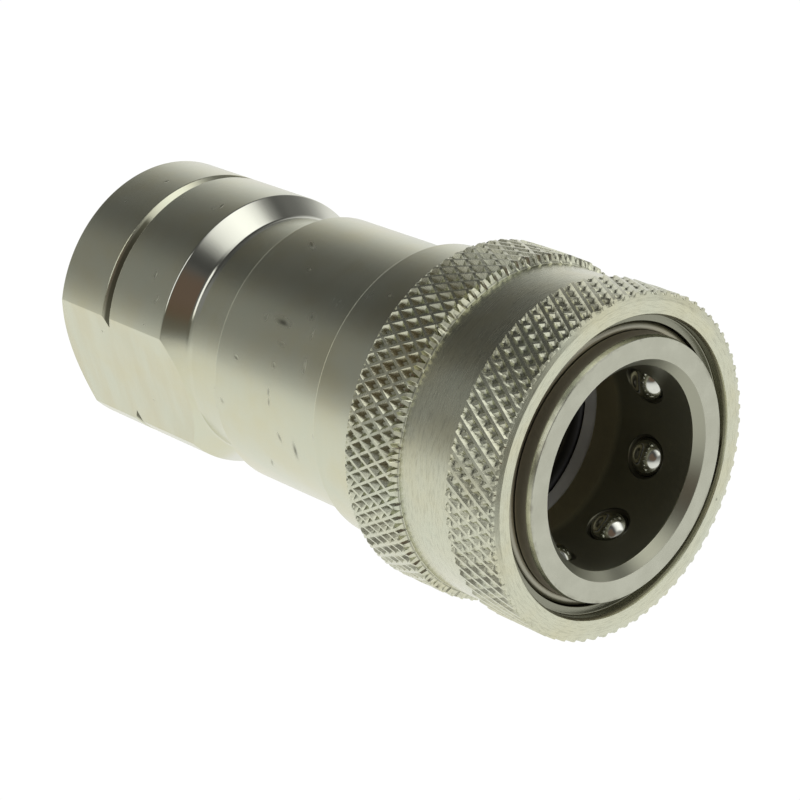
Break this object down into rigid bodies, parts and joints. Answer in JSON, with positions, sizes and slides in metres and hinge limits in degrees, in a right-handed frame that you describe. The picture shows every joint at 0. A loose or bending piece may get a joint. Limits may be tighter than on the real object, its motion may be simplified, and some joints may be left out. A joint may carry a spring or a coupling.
{
  "type": "hydraulic quick coupler",
  "caption": "Female half of a poppet-valved hydraulic quick coupler: knurled spring-loaded sleeve, ring of locking balls in the socket, rear adapter with wrench flats and pipe-thread port.",
  "frame": {"origin": "centre of the rear (port) face, where the coupler stands", "axes": "+Z along the coupler axis towards the mouth of the socket, +X two degrees from the middle of one wrench flat"},
  "size_m": [0.0336, 0.0336, 0.0676],
  "materials": {
    "body_steel": "satin turned stainless steel",
    "sleeve_steel": "turned and knurled stainless steel",
    "ball_steel": "polished ball steel",
    "spring_steel": "drawn wire",
    "seal_rubber": "black seal rubber",
    "ptfe": "off-white PTFE"
  },
  "bodies": {
    "coupler_body": {"rear_adapter": "body_steel", "front_body": "body_steel", "joint_seal": "seal_rubber", "socket_seal": "seal_rubber", "backup_ring": "ptfe", "poppet_guide": "body_steel", "sleeve_spring": "spring_steel", "poppet_spring": "spring_steel"},
    "ring": {"retaining_ring": "spring_steel"},
    "sleeve": {"locking_sleeve": "sleeve_steel"},
    "valve": {"poppet": "body_steel", "poppet_seal": "seal_rubber"},
    "ball_1": {"locking_ball_1": "ball_steel"},
    "ball_2": {"locking_ball_2": "ball_steel"},
    "ball_3": {"locking_ball_3": "ball_steel"},
    "ball_4": {"locking_ball_4": "ball_steel"},
    "ball_5": {"locking_ball_5": "ball_steel"},
    "ball_6": {"locking_ball_6": "ball_steel"},
    "ball_7": {"locking_ball_7": "ball_steel"},
    "ball_8": {"locking_ball_8": "ball_steel"}
  },
  "joints": [
    {"name": "sleeve_turn", "type": "hinge", "parent": "coupler_body", "child": "ring", "pos_m": [0, 0, 0.06501], "axis": [0, 0, 1], "continuous": true},
    {"name": "sleeve_slide", "type": "slide", "parent": "ring", "child": "sleeve", "axis": [0, 0, -1], "range_m": [0, 0.0054], "stiffness_N_per_m": 5500, "springref_m": -0.0054, "deforming": ["sleeve_spring"]},
    {"name": "valve_slide", "type": "slide", "parent": "coupler_body", "child": "valve", "axis": [0, 0, -1], "range_m": [0, 0.0048], "stiffness_N_per_m": 3000, "springref_m": -0.005, "deforming": ["poppet_spring"]},
    {"name": "ball_1_slide", "type": "slide", "parent": "coupler_body", "child": "ball_1", "axis": [0.9925, 0.1219, 0], "range_m": [0, 0.00096]},
    {"name": "ball_2_slide", "type": "slide", "parent": "coupler_body", "child": "ball_2", "axis": [0.6157, 0.788, 0], "range_m": [0, 0.00096]},
    {"name": "ball_3_slide", "type": "slide", "parent": "coupler_body", "child": "ball_3", "axis": [-0.1219, 0.9925, 0], "range_m": [0, 0.00096]},
    {"name": "ball_4_slide", "type": "slide", "parent": "coupler_body", "child": "ball_4", "axis": [-0.788, 0.6157, 0], "range_m": [0, 0.00096]},
    {"name": "ball_5_slide", "type": "slide", "parent": "coupler_body", "child": "ball_5", "axis": [-0.9925, -0.1219, 0], "range_m": [0, 0.00096]},
    {"name": "ball_6_slide", "type": "slide", "parent": "coupler_body", "child": "ball_6", "axis": [-0.6157, -0.788, 0], "range_m": [0, 0.00096]},
    {"name": "ball_7_slide", "type": "slide", "parent": "coupler_body", "child": "ball_7", "axis": [0.1219, -0.9925, 0], "range_m": [0, 0.00096]},
    {"name": "ball_8_slide", "type": "slide", "parent": "coupler_body", "child": "ball_8", "axis": [0.788, -0.6157, 0], "range_m": [0, 0.00096]}
  ],
  "couplings": [
    {"joint": "ball_1_slide", "follows": "sleeve_slide", "ratio": 0.17777},
    {"joint": "ball_2_slide", "follows": "sleeve_slide", "ratio": 0.17777},
    {"joint": "ball_3_slide", "follows": "sleeve_slide", "ratio": 0.17777},
    {"joint": "ball_4_slide", "follows": "sleeve_slide", "ratio": 0.17777},
    {"joint": "ball_5_slide", "follows": "sleeve_slide", "ratio": 0.17777},
    {"joint": "ball_6_slide", "follows": "sleeve_slide", "ratio": 0.17777},
    {"joint": "ball_7_slide", "follows": "sleeve_slide", "ratio": 0.17777},
    {"joint": "ball_8_slide", "follows": "sleeve_slide", "ratio": 0.17777}
  ]
}
